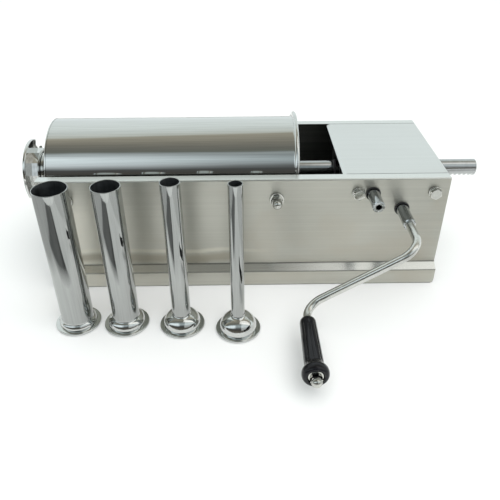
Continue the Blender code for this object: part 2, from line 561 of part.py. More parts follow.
# ---------------------------------------------------------------- crank
def make_crank(fast):
    """The bent rod with its hexagon plug, which turns about the fast shaft's axis, and its grip."""
    mouth = -HALF_W - STUB_LENGTHS["fast"]
    reach_x, reach_z = GRIP_XZ[0] - fast[0], GRIP_XZ[1] - fast[1]
    corners = [Vector((0, mouth - GAP, 0)), Vector((0, ARM_Y, 0)), Vector((reach_x, ARM_Y, reach_z)),
               Vector((reach_x, GRIP_Y[1] + 0.0045, reach_z))]
    curve = bpy.data.curves.new("crank_rod", "CURVE")
    curve.dimensions = "3D"
    curve.bevel_depth = ROD_R
    curve.bevel_resolution = 4
    curve.use_fill_caps = True
    path = rounded(corners, ROD_BENDS, 6)
    spline = curve.splines.new("POLY")
    spline.points.add(len(path) - 1)
    for point, place in zip(spline.points, path):
        point.co = (*place, 1)
    crank = solid_of_curve("crank_rod", curve, POLISHED, Matrix.Translation((fast[0], 0, fast[1])))
    plug_start = (fast[0], mouth - 0.0015, fast[1])
    cut(crank, rod("crank_plug", "Y", plug_start, PLUG_LENGTH, PLUG_R, sides=6, turn=pi / 6), "UNION")
    thread_start = (GRIP_XZ[0], GRIP_Y[1] - 0.0085, GRIP_XZ[1])
    cut(crank, rod("crank_thread", "Y", thread_start, 0.0140, GRIP_THREAD_R, sides=16), "UNION")

    place = Matrix.Translation((GRIP_XZ[0], 0, GRIP_XZ[1])) @ TO_Y
    start, stop = -GRIP_Y[0], -GRIP_Y[1]
    recess_r, recess, rod_hole = 0.0092, 0.0035, ROD_R + 0.0004
    ring = [(0.0108 + 0.0040 * cos(a), stop - 0.0065 + 0.0065 * sin(a))
            for a in (radians(d) for d in (90, 50, 10, -30))]
    body = [(0.0110, stop - 0.0145), (0.0102, stop - 0.0550), (0.0094, start + 0.0025),
            (0.0075, start)]
    grip = [(recess_r, stop - recess), (recess_r, stop)] + ring + body
    grip += [(rod_hole, start), (rod_hole, stop - recess)]
    turned("crank_grip", grip, place, BLACK, 24)
    bore = GRIP_THREAD_R + GAP
    washer = [(0.0082, stop - 0.0018), (0.0082, stop - 0.0032), (bore, stop - 0.0032),
              (bore, stop - 0.0018)]
    turned("grip_washer", washer, place, POLISHED, 24)
    nut = [(0, stop + 0.0112), (0.0036, stop + 0.0106), (0.0054, stop + 0.0086), (0.0060, stop + 0.0062),
           (0.0060, stop - 0.0015), (bore, stop - 0.0015), (bore, stop + 0.0085), (0, stop + 0.0085)]
    dome = turned("grip_nut", nut, place, POLISHED, 20, False)
    flats = [(0.0067, stop + 0.0045), (0.0067, stop - 0.0010), (0.0050, stop - 0.0010),
             (0.0050, stop + 0.0045)]
    cut(dome, turned("grip_nut_hex", flats, place, steps=6), "UNION")


# ---------------------------------------------------------------- filling tubes
def make_tubes():
    """Thin turned tubes; the thinner the tube, the higher the dome between it and the flange."""
    wall, bends = TUBE_WALL, 4
    flange_r, rim = TUBE_FLANGE_R, 0.0008
    for name, (x, y, radius, height) in TUBES.items():
        dome = min(0.020, 0.006 + (0.020 - radius) * 1.1)

        def dome_point(i):
            a = i / bends * pi / 2
            return (radius + (TUBE_SHOULDER_R - radius) * sin(a),
                    dome + 0.003 * (1 - i / bends) - (dome - 0.003) * (1 - cos(a)))

        outer = [(radius, height), (radius, dome + 0.006)] + [dome_point(i) for i in range(1, bends + 1)]
        outer += [(flange_r - rim, 0.0032), (flange_r, 0.0024), (flange_r, rim), (flange_r - rim, 0)]
        inner = [(TUBE_SHOULDER_R - wall, 0), (TUBE_SHOULDER_R - 1.5 * wall, 0.0016)]
        for r, z in (dome_point(i) for i in range(bends - 1, 0, -1)):
            inner.append((max(radius - wall, r - 1.3 * wall), z - 0.8 * wall))
        inner += [(radius - wall, dome + 0.004), (radius - wall, height)]
        turned(name, outer + inner, Matrix.Translation((x, y, 0)), POLISHED, 26)


def main():
    main_xz, fast = main_centre(), fast_centre()
    make_housing()
    make_cradles()
    make_gears(main_xz, fast)
    make_shafts(main_xz, fast)
    make_gear_plates(main_xz, fast)
    make_bearings(main_xz, fast)
    make_rack(main_xz)
    make_piston()
    make_cylinder()
    make_ring_nut()
    make_crank(fast)
    make_tubes()


main()
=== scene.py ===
"""The look of the sausage stuffer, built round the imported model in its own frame: metres, +Z up."""

import json
from math import atan2, cos, pi, radians, sin, tan

import bmesh
import bpy
from mathutils import Matrix, Vector

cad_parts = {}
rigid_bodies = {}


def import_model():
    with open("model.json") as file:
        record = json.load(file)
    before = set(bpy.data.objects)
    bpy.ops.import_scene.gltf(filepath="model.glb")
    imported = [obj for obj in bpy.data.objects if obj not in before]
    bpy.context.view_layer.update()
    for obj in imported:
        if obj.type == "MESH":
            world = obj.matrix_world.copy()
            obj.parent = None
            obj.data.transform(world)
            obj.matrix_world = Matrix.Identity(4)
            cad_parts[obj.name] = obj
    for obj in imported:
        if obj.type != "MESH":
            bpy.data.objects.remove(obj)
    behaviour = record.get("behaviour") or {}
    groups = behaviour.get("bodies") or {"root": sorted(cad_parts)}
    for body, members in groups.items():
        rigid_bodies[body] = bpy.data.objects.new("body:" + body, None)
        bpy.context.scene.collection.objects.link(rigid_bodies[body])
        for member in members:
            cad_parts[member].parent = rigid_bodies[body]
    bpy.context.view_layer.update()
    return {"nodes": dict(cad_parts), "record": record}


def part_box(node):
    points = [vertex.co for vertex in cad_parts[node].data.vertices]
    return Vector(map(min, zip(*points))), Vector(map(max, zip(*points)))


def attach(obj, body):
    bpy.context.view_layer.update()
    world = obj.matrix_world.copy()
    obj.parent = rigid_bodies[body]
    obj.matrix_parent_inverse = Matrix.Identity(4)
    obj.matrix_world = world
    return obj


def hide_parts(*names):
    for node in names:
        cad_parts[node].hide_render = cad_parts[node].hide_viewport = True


for old in list(bpy.data.objects):
    bpy.data.objects.remove(old, do_unlink=True)
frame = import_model()
SCENE = bpy.context.scene

# ------------------------------------------------------------------ sizes shared with the CAD model
AXIS_Z = 0.1192
HALF_L, HALF_W, HEIGHT = 0.252, 0.096, 0.151
SHEET, GAP = 0.0015, 0.0003
LEDGE_TOP, LEDGE_OUT, SKIRT_TOP, SKIRT_FOOT, FLANGE = 0.0288, 0.0106, 0.0221, 0.0005, 0.0135
COVER_X, HEM, HEM_DROP, COVER_JOINT = 0.1225, 0.0045, 0.0018, 0.0009
SHEET_EDGE = 0.00035
SLOW_XZ, FAST_XZ = (0.1586, 0.1310), (0.1969086, 0.1098)
BOLTS = ((0.1405, 0.1320), (0.2344, 0.1322))
STUDS = ((-0.2190, 0.1245), (0.0405, 0.1245))
# name: (x, y, outer radius, height)
TUBES = {"tube_38": (-0.2048, -0.1760, 0.0190, 0.1843), "tube_32": (-0.1450, -0.1790, 0.0160, 0.1881),
         "tube_22": (-0.0769, -0.1830, 0.0110, 0.1943), "tube_16": (-0.0088, -0.1920, 0.0080, 0.1964)}

TO_X = Matrix.Rotation(-pi / 2, 4, "Y")      # +Z of a turned profile becomes -X
TO_Y = Matrix.Rotation(pi / 2, 4, "X")       # +Z of a turned profile becomes -Y
ON_AXIS = Matrix.Translation((0, 0, AXIS_Z)) @ TO_X


# ------------------------------------------------------------------ node materials
class Nodes:
    """A node tree, with short ways to add and link nodes."""

    def __init__(self, tree):
        self.tree = tree

    def add(self, kind, **settings):
        made = self.tree.nodes.new(kind)
        for key, value in settings.items():
            setattr(made, key, value)
        return made

    def link(self, a, b):
        self.tree.links.new(a, b)

    def span(self, value, low, high, start=0.35, stop=0.65, **settings):
        """A value brought from start..stop into low..high."""
        made = self.add("ShaderNodeMapRange", **settings)
        made.inputs["From Min"].default_value = start
        made.inputs["From Max"].default_value = stop
        made.inputs["To Min"].default_value = low
        made.inputs["To Max"].default_value = high
        self.link(value, made.inputs["Value"])
        return made.outputs["Result"]

    def math(self, operation, a, b):
        made = self.add("ShaderNodeMath", operation=operation)
        for socket, value in zip(made.inputs, (a, b)):
            if isinstance(value, (int, float)):
                socket.default_value = value
            else:
                self.link(value, socket)
        return made.outputs["Value"]

    def ramp(self, value, stops):
        made = self.add("ShaderNodeValToRGB")
        elements = made.color_ramp.elements
        while len(elements) < len(stops):
            elements.new(0.5)
        for element, (at, colour) in zip(elements, stops):
            element.position = at
            element.color = (*colour, 1)
        self.link(value, made.inputs["Fac"])
        return made.outputs["Color"]

    def mix(self, factor, a, b, blend="MIX"):
        made = self.add("ShaderNodeMix", data_type="RGBA", blend_type=blend)
        for socket, value in ((made.inputs[0], factor), (made.inputs[6], a), (made.inputs[7], b)):
            if isinstance(value, tuple):
                socket.default_value = (*value, 1)
            elif isinstance(value, float):
                socket.default_value = value
            else:
                self.link(value, socket)
        return made.outputs[2]


class Surface(Nodes):
    """A material's node tree, with its shader and the object's own coordinates."""

    def __init__(self, name):
        self.material = bpy.data.materials.new(name)
        self.material.use_nodes = True
        super().__init__(self.material.node_tree)
        self.shader = self.tree.nodes["Principled BSDF"]
        self.place = self.add("ShaderNodeTexCoord").outputs["Object"]

    def noise(self, stretch, detail=3.0, rough=0.55, distortion=0.0):
        """Noise in the object's own frame, with a frequency per axis in cycles a metre."""
        mapping = self.add("ShaderNodeMapping")
        mapping.inputs["Scale"].default_value = stretch
        self.link(self.place, mapping.inputs["Vector"])
        made = self.add("ShaderNodeTexNoise")
        made.inputs["Scale"].default_value = 1.0
        made.inputs["Detail"].default_value = detail
        made.inputs["Roughness"].default_value = rough
        made.inputs["Distortion"].default_value = distortion
        self.link(mapping.outputs["Vector"], made.inputs["Vector"])
        return made.outputs["Fac"]

    def bump(self, *layers):
        """Bumps on top of each other, each as (height, strength, distance)."""
        normal = None
        for height, strength, distance in layers:
            made = self.add("ShaderNodeBump")
            made.inputs["Strength"].default_value = strength
            made.inputs["Distance"].default_value = distance
            self.link(height, made.inputs["Height"])
            if normal:
                self.link(normal, made.inputs["Normal"])
            normal = made.outputs["Normal"]
        self.link(normal, self.shader.inputs["Normal"])

    def edges(self, low=0.50, high=0.60):
        """About 1 on convex edges and 0 elsewhere."""
        return self.span(self.add("ShaderNodeNewGeometry").outputs["Pointiness"], 0.0, 1.0, low, high)


def brushed(name, light, dark, rough, grain, anisotropy=0.75, warm=None, top=None, painted_shade_lines=(), painted_reflections=()):
    """Brushed stainless sheet.

    The grain is (cycles along, across, through) the brushing. A top colour is painted light: the faces that
    look up get it, lighter as if lit from above, along with a finer polish. A shade line is painted shade, a
    dark line as (height, amount). A painted reflection is a soft tint of reflected light or shade, as (tint,
    amount, (x where it is full, x where it ends), height, (half width when full, half width at its edge)).
    """
    n = Surface(name)
    fine = n.noise(grain, 4.0, 0.7)
    streak = n.noise(tuple(g * 0.12 for g in grain), 2.0, 0.6)
    cloud = n.noise((7, 9, 11), 4.0, 0.6, 0.4)
    shade = n.math("ADD", n.math("MULTIPLY", fine, 0.35), n.math("MULTIPLY", streak, 0.65))
    colour = n.ramp(shade, [(0.36, dark), (0.64, light)])
    if warm:
        colour = n.mix(n.span(cloud, 0.0, 0.55, 0.50, 0.72), colour, warm)
    # painted light: the lighter polished colour goes on the faces that look up, as if lit from above
    if top:
        facing = n.add("ShaderNodeSeparateXYZ")
        n.link(n.add("ShaderNodeNewGeometry").outputs["Normal"], facing.inputs[0])
        polished = n.ramp(shade, [(0.36, tuple(c * 0.9 for c in top)), (0.64, top)])
        colour = n.mix(n.span(facing.outputs["Z"], 0.0, 1.0, 0.2, 0.95), colour, polished)
    at = n.add("ShaderNodeSeparateXYZ")
    n.link(n.place, at.inputs[0])
    # painted reflections: soft bands of reflected light and shade tinted into the wall's colour
    for tint, amount, (full, none), height, (core, edge) in painted_reflections:
        wave = n.math("MULTIPLY", n.math("SUBTRACT", cloud, 0.5), 0.02)
        wavy = n.math("ADD", at.outputs["Z"], wave)
        away = n.math("ABSOLUTE", n.math("SUBTRACT", wavy, height), 0.0)
        reach = n.math("MULTIPLY", n.span(away, amount, 0.0, core, edge),
                       n.span(at.outputs["X"], 1.0, 0.0, full, none))
        colour = n.mix(reach, colour, tint)
    # painted shade: thin dark lines along the bends and at the foot
    for height, amount in painted_shade_lines:
        away = n.math("ABSOLUTE", n.math("SUBTRACT", at.outputs["Z"], height), 0.0)
        colour = n.mix(n.span(away, amount, 0.0, 0.0002, 0.0011), colour, tuple(c * 0.25 for c in dark))
    n.link(colour, n.shader.inputs["Base Color"])
    wiped = n.math("MULTIPLY", n.math("SUBTRACT", cloud, 0.5), 0.16)
    dull = n.math("ADD", n.span(shade, rough - 0.03, rough + 0.04), wiped)
    if top:
        dull = n.math("MULTIPLY", dull, n.span(facing.outputs["Z"], 1.0, 0.55, 0.2, 0.95))
    n.link(dull, n.shader.inputs["Roughness"])
    n.shader.inputs["Metallic"].default_value = 1.0
    n.shader.inputs["Anisotropic"].default_value = anisotropy
    turn = n.add("ShaderNodeTangent", direction_type="RADIAL", axis="X")
    n.link(turn.outputs["Tangent"], n.shader.inputs["Tangent"])
    n.bump((fine, 0.035, 0.0002))
    return n.material


def mirror(name, colour, rough, lines, wave, wave_scale):
    """Mirror-polished steel with hairlines, faint ripples in the sheet and finger marks."""
    n = Surface(name)
    hair = n.noise(lines, 3.0, 0.7)
    marks = n.noise((38, 34, 30), 5.0, 0.65, 0.6)
    ripple = n.noise(wave_scale, 2.0, 0.5)
    dull = tuple(c * 0.86 for c in colour)
    n.link(n.ramp(hair, [(0.30, dull), (0.60, colour)]), n.shader.inputs["Base Color"])
    base = n.span(hair, rough + 0.03, rough, 0.3, 0.6)
    n.link(n.math("ADD", base, n.span(marks, 0.0, 0.05, 0.55, 0.75)), n.shader.inputs["Roughness"])
    n.shader.inputs["Metallic"].default_value = 1.0
    n.bump((ripple, wave, 0.002), (hair, 0.03, 0.0001))
    return n.material


def satin(name, colour, rough, grain=(900, 900, 900), pits=0.12, dark=0.8, side=1.0):
    """Satin or machined metal with fine tool marks and brighter worn edges.

    A side under 1 paints shade on the faces that look neither to the front nor to the back.
    """
    n = Surface(name)
    marks = n.noise(grain, 3.0, 0.65)
    cloud = n.noise((120, 110, 130), 4.0, 0.6)
    tone = n.ramp(n.math("ADD", n.math("MULTIPLY", marks, 0.5), n.math("MULTIPLY", cloud, 0.5)),
                  [(0.36, tuple(c * dark for c in colour)), (0.62, colour)])
    # painted shade on the side faces
    if side < 1.0:
        facing = n.add("ShaderNodeSeparateXYZ")
        n.link(n.add("ShaderNodeNewGeometry").outputs["Normal"], facing.inputs[0])
        ahead = n.math("ABSOLUTE", facing.outputs["Y"], 0.0)
        tone = n.mix(n.span(ahead, 0.0, 1.0, 0.25, 0.85), tuple(c * side for c in colour), tone)
    bright = tuple(min(1.0, c * 1.3) for c in colour)
    n.link(n.mix(n.math("MULTIPLY", n.edges(), 0.5), tone, bright), n.shader.inputs["Base Color"])
    n.link(n.span(cloud, rough - 0.06, rough + 0.08), n.shader.inputs["Roughness"])
    n.shader.inputs["Metallic"].default_value = 1.0
    n.bump((marks, pits, 0.0002))
    return n.material


def plastic(name, colour, rough, coat, scuff=0.1, shine=0.5):
    """Moulded plastic with a faint grain, dust in its roughness and paler worn edges."""
    n = Surface(name)
    grain = n.noise((700, 700, 700), 3.0, 0.6)
    dust = n.noise((90, 70, 90), 5.0, 0.7, 0.5)
    worn = tuple(c + 0.03 for c in colour)
    tone = n.ramp(dust, [(0.40, colour), (0.75, tuple(c * 1.6 + 0.004 for c in colour))])
    n.link(n.mix(n.math("MULTIPLY", n.edges(0.52, 0.62), 0.5), tone, worn), n.shader.inputs["Base Color"])
    n.link(n.span(dust, rough, rough + 0.14, 0.4, 0.75), n.shader.inputs["Roughness"])
    n.shader.inputs["Specular IOR Level"].default_value = shine
    n.shader.inputs["Coat Weight"].default_value = coat
    n.shader.inputs["Coat Roughness"].default_value = 0.05
    n.bump((dust, 0.04, 0.001), (grain, scuff, 0.0002))
    return n.material


# Painted light and shade on the panel: a lighter top where faces look up, dark shade lines at the bends and at
# the foot, and bands of painted reflection on the wall.
PANEL = brushed("panel_steel", (0.62, 0.615, 0.555), (0.55, 0.545, 0.49), 0.40, (5, 260, 1700),
                warm=(0.58, 0.53, 0.44), top=(0.74, 0.75, 0.73),
                painted_shade_lines=((LEDGE_TOP, 0.75), (SKIRT_TOP - 0.0004, 0.6), (SKIRT_FOOT, 0.7)),
                painted_reflections=(((0.86, 0.83, 0.74), 0.75, (-0.19, -0.09), 0.06, (0.045, 0.09)),
                       ((0.38, 0.34, 0.26), 0.60, (-0.03, 0.03), 0.0385, (0.003, 0.009)),
                       ((0.86, 0.83, 0.72), 0.55, (-0.04, 0.04), 0.0500, (0.001, 0.004))))
# painted shade: a much darker copy of the panel's steel for the faces inside the housing and under its edge
PANEL_INSIDE_SHADED = brushed("panel_inside_shaded_steel", (0.24, 0.24, 0.225), (0.16, 0.16, 0.15), 0.46,
                       (5, 240, 1500), anisotropy=0.4)
COVER = brushed("cover_steel", (0.73, 0.74, 0.73), (0.69, 0.70, 0.69), 0.34, (8, 1300, 900), anisotropy=0.5)
# painted shade: a darker copy of the sheet steel for the housing's parts inside the box
INNER_SHADED = brushed("inner_sheet_shaded_steel", (0.46, 0.46, 0.44), (0.32, 0.32, 0.30), 0.38, (300, 20, 900),
                anisotropy=0.3, warm=(0.40, 0.38, 0.33))
BARREL = mirror("barrel_polished_steel", (0.64, 0.645, 0.63), 0.02, (9, 700, 700), 0.16, (5, 26, 26))
TUBE = mirror("tube_polished_steel", (0.42, 0.43, 0.42), 0.03, (700, 700, 12), 0.25, (60, 60, 9))
# painted light: a lighter copy of the tube steel for the dome and the flange, for their brighter highlights
TUBE_FOOT_LIT = mirror("tube_foot_lit_steel", (0.64, 0.65, 0.635), 0.025, (700, 700, 700), 0.20,
                   (70, 70, 70))
# painted shade: a dark copy of the tube steel for the inside of the tubes and their undersides
TUBE_INSIDE_SHADED = satin("tube_inside_shaded_steel", (0.20, 0.21, 0.22), 0.42, (500, 500, 60), 0.1, 0.6)
NUT = mirror("ring_nut_polished_steel", (0.66, 0.665, 0.65), 0.06, (500, 60, 60), 0.10, (60, 60, 60))
PISTON = mirror("piston_polished_steel", (0.66, 0.66, 0.64), 0.12, (60, 600, 600), 0.10, (40, 40, 40))
# The fasteners' and the drive shafts' side faces get painted shade through the last value.
FASTENER = satin("fastener_steel", (0.68, 0.68, 0.64), 0.10, (1200, 160, 1200), 0.06, 0.72, 0.42)
ROD = satin("crank_rod_steel", (0.66, 0.66, 0.63), 0.19, (420, 420, 420), 0.06, 0.78)
STUB = satin("splined_shaft_steel", (0.58, 0.60, 0.60), 0.10, (1500, 90, 1500), 0.05, 0.7, 0.60)
GEARS = satin("gear_steel", (0.40, 0.40, 0.39), 0.30, (1400, 500, 1400), 0.15, 0.6)
PLATES = satin("gear_plate_steel", (0.42, 0.42, 0.41), 0.36, (60, 900, 900), 0.12, 0.7)
RACK = satin("rack_steel", (0.46, 0.47, 0.47), 0.12, (30, 1200, 1200), 0.05, 0.75)
BRONZE = satin("bush_bronze", (0.60, 0.41, 0.19), 0.32, (900, 300, 900), 0.12, 0.7)
BLACK = plastic("black_nylon", (0.013, 0.013, 0.014), 0.34, 0.1)
GRIP = plastic("gloss_black_grip", (0.004, 0.004, 0.0055), 0.12, 0.40, 0.02, 0.08)
SILICONE = plastic("white_silicone", (0.74, 0.74, 0.70), 0.42, 0.0, 0.08)


# ------------------------------------------------------------------ mesh helpers
def shaded(obj, angle=32.0):
    """Smooth shading with sharp edges above an angle."""
    bm = bmesh.new()
    bm.from_mesh(obj.data)
    bmesh.ops.recalc_face_normals(bm, faces=bm.faces)
    for face in bm.faces:
        face.smooth = True
    for edge in bm.edges:
        edge.smooth = edge.calc_face_angle(0.0) < radians(angle)
    bm.to_mesh(obj.data)
    bm.free()
    return obj


def made_of(name, verts, faces, place=Matrix()):
    """A mesh object from points and faces, moved into place."""
    mesh = bpy.data.meshes.new(name)
    mesh.from_pydata(verts, [], faces)
    mesh.transform(place)
    bm = bmesh.new()
    bm.from_mesh(mesh)
    bmesh.ops.remove_doubles(bm, verts=bm.verts, dist=1e-7)
    bmesh.ops.recalc_face_normals(bm, faces=bm.faces)
    bm.to_mesh(mesh)
    bm.free()
    obj = bpy.data.objects.new(name, mesh)
    SCENE.collection.objects.link(obj)
    return shaded(obj)


def piece(obj, body, material, node, angle=None):
    """Give a finished mesh its material and its body, and hide the CAD node that it stands for."""
    obj.data.materials.clear()
    obj.data.materials.append(material)
    if angle:
        shaded(obj, angle)
    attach(obj, body)
    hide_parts(node)
    return obj


def around(profile, rings, swell=None):
    """Rings of points round Z from (radius, height) pairs; swell changes a radius by angle."""
    for r, h in profile:
        for i in range(rings):
            a = 2 * pi * i / rings
            s = r if swell is None else swell(r, h, a)
            yield s * cos(a), s * sin(a), h


def lathe(name, profile, place=Matrix(), rings=96, closed=True, swell=None):
    """A turned solid. An open profile starts and ends on the axis."""
    verts = list(around(profile, rings, swell))
    faces = []
    count = len(profile)
    for row in range(count if closed else count - 1):
        above = (row + 1) % count
        for i in range(rings):
            j = (i + 1) % rings
            faces.append((row * rings + i, row * rings + j, above * rings + j, above * rings + i))
    if not closed:
        clean = []
        for face in faces:
            seen = []
            for v in face:
                if all((Vector(verts[v]) - Vector(verts[u])).length > 1e-9 for u in seen):
                    seen.append(v)
            if len(seen) > 2:
                clean.append(tuple(seen))
        faces = clean
    return made_of(name, verts, faces, place)


def fillet(points, radii, steps=4, closed=True):
    """A polyline whose corners are rounded; a radius of 0 keeps the corner."""
    out = []
    count = len(points)
    for i, (p, radius) in enumerate(zip(points, radii)):
        p = Vector(p)
        if radius <= 0 or (not closed and i in (0, count - 1)):
            out.append(tuple(p))
            continue
        a = (Vector(points[i - 1]) - p)
        b = (Vector(points[(i + 1) % count]) - p)
        bend = a.angle(b)
        if abs(bend - pi) < 0.01:
            out.append(tuple(p))
            continue
        reach = min(radius / tan(bend / 2), 0.49 * a.length, 0.49 * b.length)
        real = reach * tan(bend / 2)
        a.normalize()
        b.normalize()
        centre = p + (a + b).normalized() * (real / sin(bend / 2))
        start, stop = p + a * reach - centre, p + b * reach - centre
        for k in range(steps + 1):
            t = k / steps
            turn = start.angle(stop)
            point = (start * sin((1 - t) * turn) + stop * sin(t * turn)) / sin(turn)
            out.append(tuple(centre + point))
    return out


def prism(name, outline, length, place=Matrix()):
    """A closed outline (u, v) extruded from 0 to a length along Z."""
    curve = bpy.data.curves.new(name, "CURVE")
    curve.dimensions = "2D"
    curve.fill_mode = "BOTH"
    curve.extrude = length / 2
    spline = curve.splines.new("POLY")
    spline.points.add(len(outline) - 1)
    for point, (u, v) in zip(spline.points, outline):
        point.co = (u, v, 0, 1)
    spline.use_cyclic_u = True
    guide = bpy.data.objects.new(name, curve)
    mesh = bpy.data.meshes.new_from_object(guide)
    bpy.data.objects.remove(guide)
    mesh.transform(place @ Matrix.Translation((0, 0, length / 2)))
    bm = bmesh.new()
    bm.from_mesh(mesh)
    bmesh.ops.remove_doubles(bm, verts=bm.verts, dist=1e-6)
    bmesh.ops.recalc_face_normals(bm, faces=bm.faces)
    bm.to_mesh(mesh)
    bm.free()
    mesh.materials.clear()
    obj = bpy.data.objects.new(name, mesh)
    SCENE.collection.objects.link(obj)
    return shaded(obj)


def baked(obj, shade=True):
    """The object with its modifiers applied."""
    bpy.context.view_layer.update()
    seen = obj.evaluated_get(bpy.context.evaluated_depsgraph_get())
    mesh = bpy.data.meshes.new_from_object(seen)
    obj.modifiers.clear()
    obj.data = mesh
    return shaded(obj) if shade else obj


def combine(obj, cutters, operation="DIFFERENCE"):
    """Exact Booleans with a list of throw-away solids."""
    for cutter in cutters:
        made = obj.modifiers.new("cut", "BOOLEAN")
        made.solver = "EXACT"
        made.operation = operation
        made.object = cutter
    baked(obj)
    for cutter in cutters:
        bpy.data.objects.remove(cutter, do_unlink=True)
    return obj


def bevelled(obj, width, segments, angle):
    """Rounded edges, with normals weighted by area so that flat faces stay flat."""
    made = obj.modifiers.new("edge", "BEVEL")
    made.width = width
    made.segments = segments
    made.limit_method = "ANGLE"
    made.angle_limit = radians(angle)
    made.use_clamp_overlap = True
    baked(obj)
    weigh = obj.modifiers.new("weigh", "WEIGHTED_NORMAL")
    weigh.mode = "FACE_AREA"
    weigh.weight = 80
    weigh.keep_sharp = True
    return baked(obj, False)


def circle(radius, sides, turn=0.0):
    """The corners of a regular outline."""
    return [(radius * cos(turn + 2 * pi * i / sides), radius * sin(turn + 2 * pi * i / sides))
            for i in range(sides)]


def drill(name, xz, y, length, radius, sides=48):
    """A round cutter along +Y."""
    place = Matrix.Translation((xz[0], y + length, xz[1])) @ TO_Y
    return prism(name, circle(radius, sides), length, place)


def along_x(x):
    """Outline (u, v) to world (Y, Z), extruded along +X from x."""
    turn = Matrix(((0, 0, 1, 0), (1, 0, 0, 0), (0, 1, 0, 0), (0, 0, 0, 1)))
    return Matrix.Translation((x, 0, 0)) @ turn


def thick(path, thickness, side):
    """A bent sheet's section from its outer path."""
    outer = [Vector(p) for p in path]
    normals = []
    for here, there in zip(outer, outer[1:]):
        d = (there - here).normalized()
        normals.append(Vector((-d.y, d.x)) * side)
    inner = []
    for point, before, after in zip(outer, normals[:1] + normals, normals + normals[-1:]):
        middle = (before + after).normalized()
        inner.append(point + middle * (thickness / middle.dot(after)))
    return [tuple(p) for p in outer + inner[::-1]]


# ------------------------------------------------------------------ housing
def make_panel(name, sign):
    """A side of the housing: skirt, sloping ledge, wall and the top edge turned in."""
    path = [(HALF_W + LEDGE_OUT, SKIRT_FOOT), (HALF_W + LEDGE_OUT, SKIRT_TOP), (HALF_W, LEDGE_TOP),
            (HALF_W, HEIGHT), (HALF_W - FLANGE, HEIGHT)]
    path = fillet([(sign * y, z) for y, z in path], (0, 0.0010, 0.0012, 0.0020, 0), 6, False)
    panel = prism(name + "_sheet", thick(path, SHEET, sign), 2 * HALF_L, along_x(-HALF_L))
    cutters = []
    reach, bolt_hole, shaft_hole = 0.006, 0.0045, 0.0083
    for i, xz in enumerate(BOLTS + STUDS):
        cutters.append(drill(f"hole_{i}", xz, sign * HALF_W - reach, 2 * reach, bolt_hole, 32))
    if sign < 0:
        for i, xz in enumerate((SLOW_XZ, FAST_XZ)):
            cutters.append(drill(f"shaft_hole_{i}", xz, -HALF_W - reach, 2 * reach, shaft_hole))
    corner, past = 0.006, 0.002
    arc = [(corner - corner * sin(t), corner - corner * cos(t)) for t in map(radians, range(0, 91, 10))]
    for end in (-1, 1):
        outline = [(end * (HALF_L - u), v) for u, v in arc]
        outline += [(end * (HALF_L + past), corner), (end * (HALF_L + past), -past),
                    (end * (HALF_L - corner), -past)]
        place = Matrix.Translation((0, sign * (HALF_W + LEDGE_OUT) + 0.004, 0)) @ TO_Y
        cutters.append(prism(f"corner_{end}", outline, 0.008, place))
    combine(panel, cutters)
    bevelled(panel, SHEET_EDGE, 2, 35)
    piece(panel, "housing", PANEL, name)
    # the faces inside and underneath get the darker copy, which paints the shade inside the housing
    panel.data.materials.append(PANEL_INSIDE_SHADED)
    for face in panel.data.polygons:
        if face.normal.y * sign < -0.5 or face.normal.z < -0.5:
            face.material_index = 1


def make_cover():
    """The cover over the gearbox, with its front edge turned down."""
    path = [(HALF_L, HEIGHT), (COVER_X + HEM, HEIGHT), (COVER_X, HEIGHT - HEM_DROP)]
    path = fillet(path, (0, 0.003, 0), 6, False)
    half = HALF_W - FLANGE - COVER_JOINT
    place = Matrix.Translation((0, half, 0)) @ TO_Y
    cover = prism("gearbox_cover_sheet", thick(path, SHEET, 1), 2 * half, place)
    bevelled(cover, SHEET_EDGE, 2, 35)
    piece(cover, "housing", COVER, "gearbox_cover")


# ------------------------------------------------------------------ fasteners
def hexagon(name, corner, low, top, flat_r, place, turn=0.0, slope=30.0, per_side=10):
    """A hexagonal head whose corners are turned down by a cone."""
    apothem = corner * cos(pi / 6)
    rings = 6 * per_side
    verts, faces = [], []
    for i in range(rings):
        a = 2 * pi * i / rings
        r = apothem / cos((a % (pi / 3)) - pi / 6)
        drop = max(0.0, r - flat_r) * tan(radians(slope))
        for radius, height in ((r, low), (r, top - drop), (flat_r, top)):
            verts.append((radius * cos(a + turn), radius * sin(a + turn), height))
    for i in range(rings):
        j = (i + 1) % rings
        for k in range(2):
            faces.append((3 * i + k, 3 * j + k, 3 * j + k + 1, 3 * i + k + 1))
    faces.append(tuple(3 * i + 2 for i in range(rings)))
    faces.append(tuple(3 * i for i in reversed(range(rings))))
    return made_of(name, verts, faces, place)


def on_panel(x, sign, z):
    """Just off a panel's outer face, with +Z of a turned profile pointing out."""
    return Matrix.Translation((x, sign * (HALF_W + GAP), z)) @ (TO_Y if sign < 0 else TO_Y.inverted())


def joined(name, objects):
    """Several closed meshes as one object."""
    bm = bmesh.new()
    for obj in objects:
        bm.from_mesh(obj.data)
    mesh = bpy.data.meshes.new(name)
    bm.to_mesh(mesh)
    bm.free()
    for obj in objects:
        bpy.data.objects.remove(obj, do_unlink=True)
    made = bpy.data.objects.new(name, mesh)
    SCENE.collection.objects.link(made)
    return made


def make_bolt(name, x, sign, z):
    """A hexagon bolt with a washer."""
    place = on_panel(x, sign, z)
    washer_r, washer_top, shank_r, tip_r, length = 0.0080, 0.0016, 0.0039, 0.0030, 0.0710
    washer = fillet([(washer_r, washer_top), (washer_r, 0), (tip_r, 0), (tip_r, washer_top)],
                    (0.0006, 0.0002, 0, 0), 4)
    shank = [(0, -GAP), (shank_r, -GAP), (shank_r, -length + 0.0010), (tip_r, -length), (0, -length)]
    parts = [lathe("washer", washer, place, 64),
             hexagon("head", 0.0075, 0.00162, 0.0069, 0.0061, place, radians(38)),
             lathe("shank", shank, place, 32, False)]
    bolt = joined(name + "_steel", parts)
    piece(bolt, "housing", FASTENER, name, angle=28)


